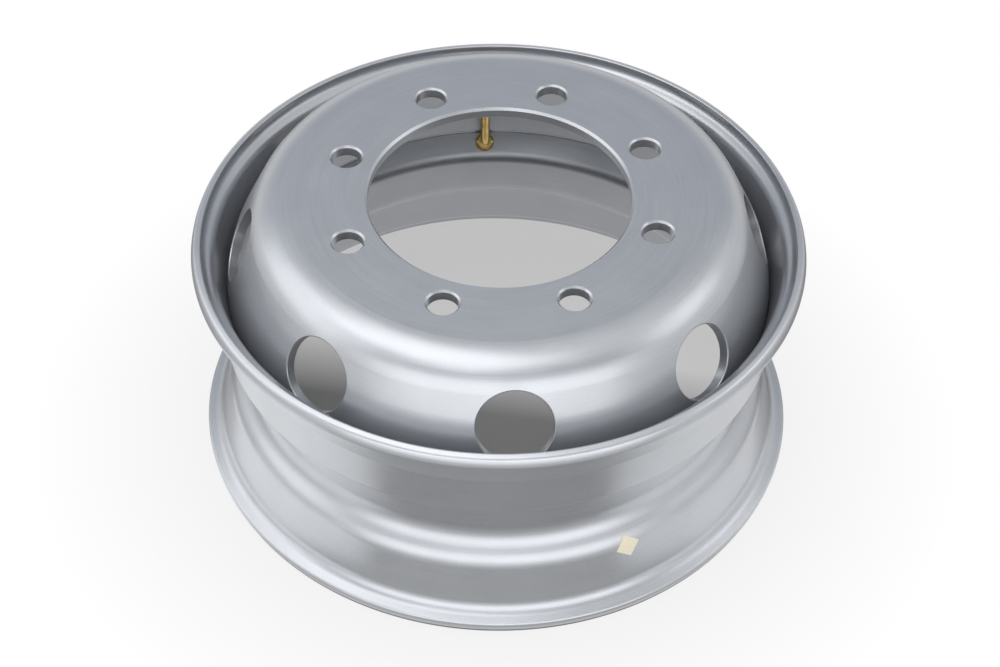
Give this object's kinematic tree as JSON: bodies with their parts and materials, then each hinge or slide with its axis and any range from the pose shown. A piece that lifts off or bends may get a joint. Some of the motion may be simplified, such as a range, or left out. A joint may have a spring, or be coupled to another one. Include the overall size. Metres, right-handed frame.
{
  "type": "truck steel wheel",
  "caption": "Truck steel wheel for tubeless tyres: a drop-centre rim with a pressed disc welded in, round hand holes, bolt holes round a large centre bore, and a bent tyre valve.",
  "frame": {"origin": "on the wheel's axis, in the plane of the lower flange that the wheel lies on", "axes": "+Z along the wheel's axis towards the disc's convex face, +Y towards the tyre valve"},
  "size_m": [0.5206, 0.5206, 0.258],
  "materials": {
    "rim_paint": "satin silver-grey metallic paint",
    "disc_paint": "satin silver-grey metallic paint",
    "weld_paint": "satin silver-grey paint over a rippled weld",
    "stem_brass": "satin brass",
    "grommet_rubber": "matt",
    "washer_brass": "tarnished brass",
    "nut_brass": "satin brass",
    "core_brass": "turned brass",
    "ring_plastic": "smooth",
    "pin_steel": "bright",
    "seal_rubber": "matt",
    "spring_steel": "bright wire",
    "cap_plastic": "moulded, fine grain",
    "cap_rubber": "matt",
    "sticker_paper": "matt cream paper"
  },
  "bodies": {
    "wheel": {"rim": "rim_paint", "disc": "disc_paint", "disc_weld": "weld_paint", "valve_stem": "stem_brass", "valve_grommet": "grommet_rubber", "valve_washer": "washer_brass", "valve_nut": "nut_brass", "core_barrel": "core_brass", "core_ring": "ring_plastic", "core_spring": "spring_steel", "valve_cap": "cap_plastic", "cap_seal": "cap_rubber", "paper_sticker": "sticker_paper"},
    "valve_pin": {"core_pin": "pin_steel", "core_seal": "seal_rubber"}
  },
  "joints": [
    {"name": "pin_press", "type": "slide", "parent": "wheel", "child": "valve_pin", "axis": [0, 0, -1], "range_m": [0, 0.0015], "stiffness_N_per_m": 800, "springref_m": -0.002, "deforming": ["core_spring"]}
  ]
}
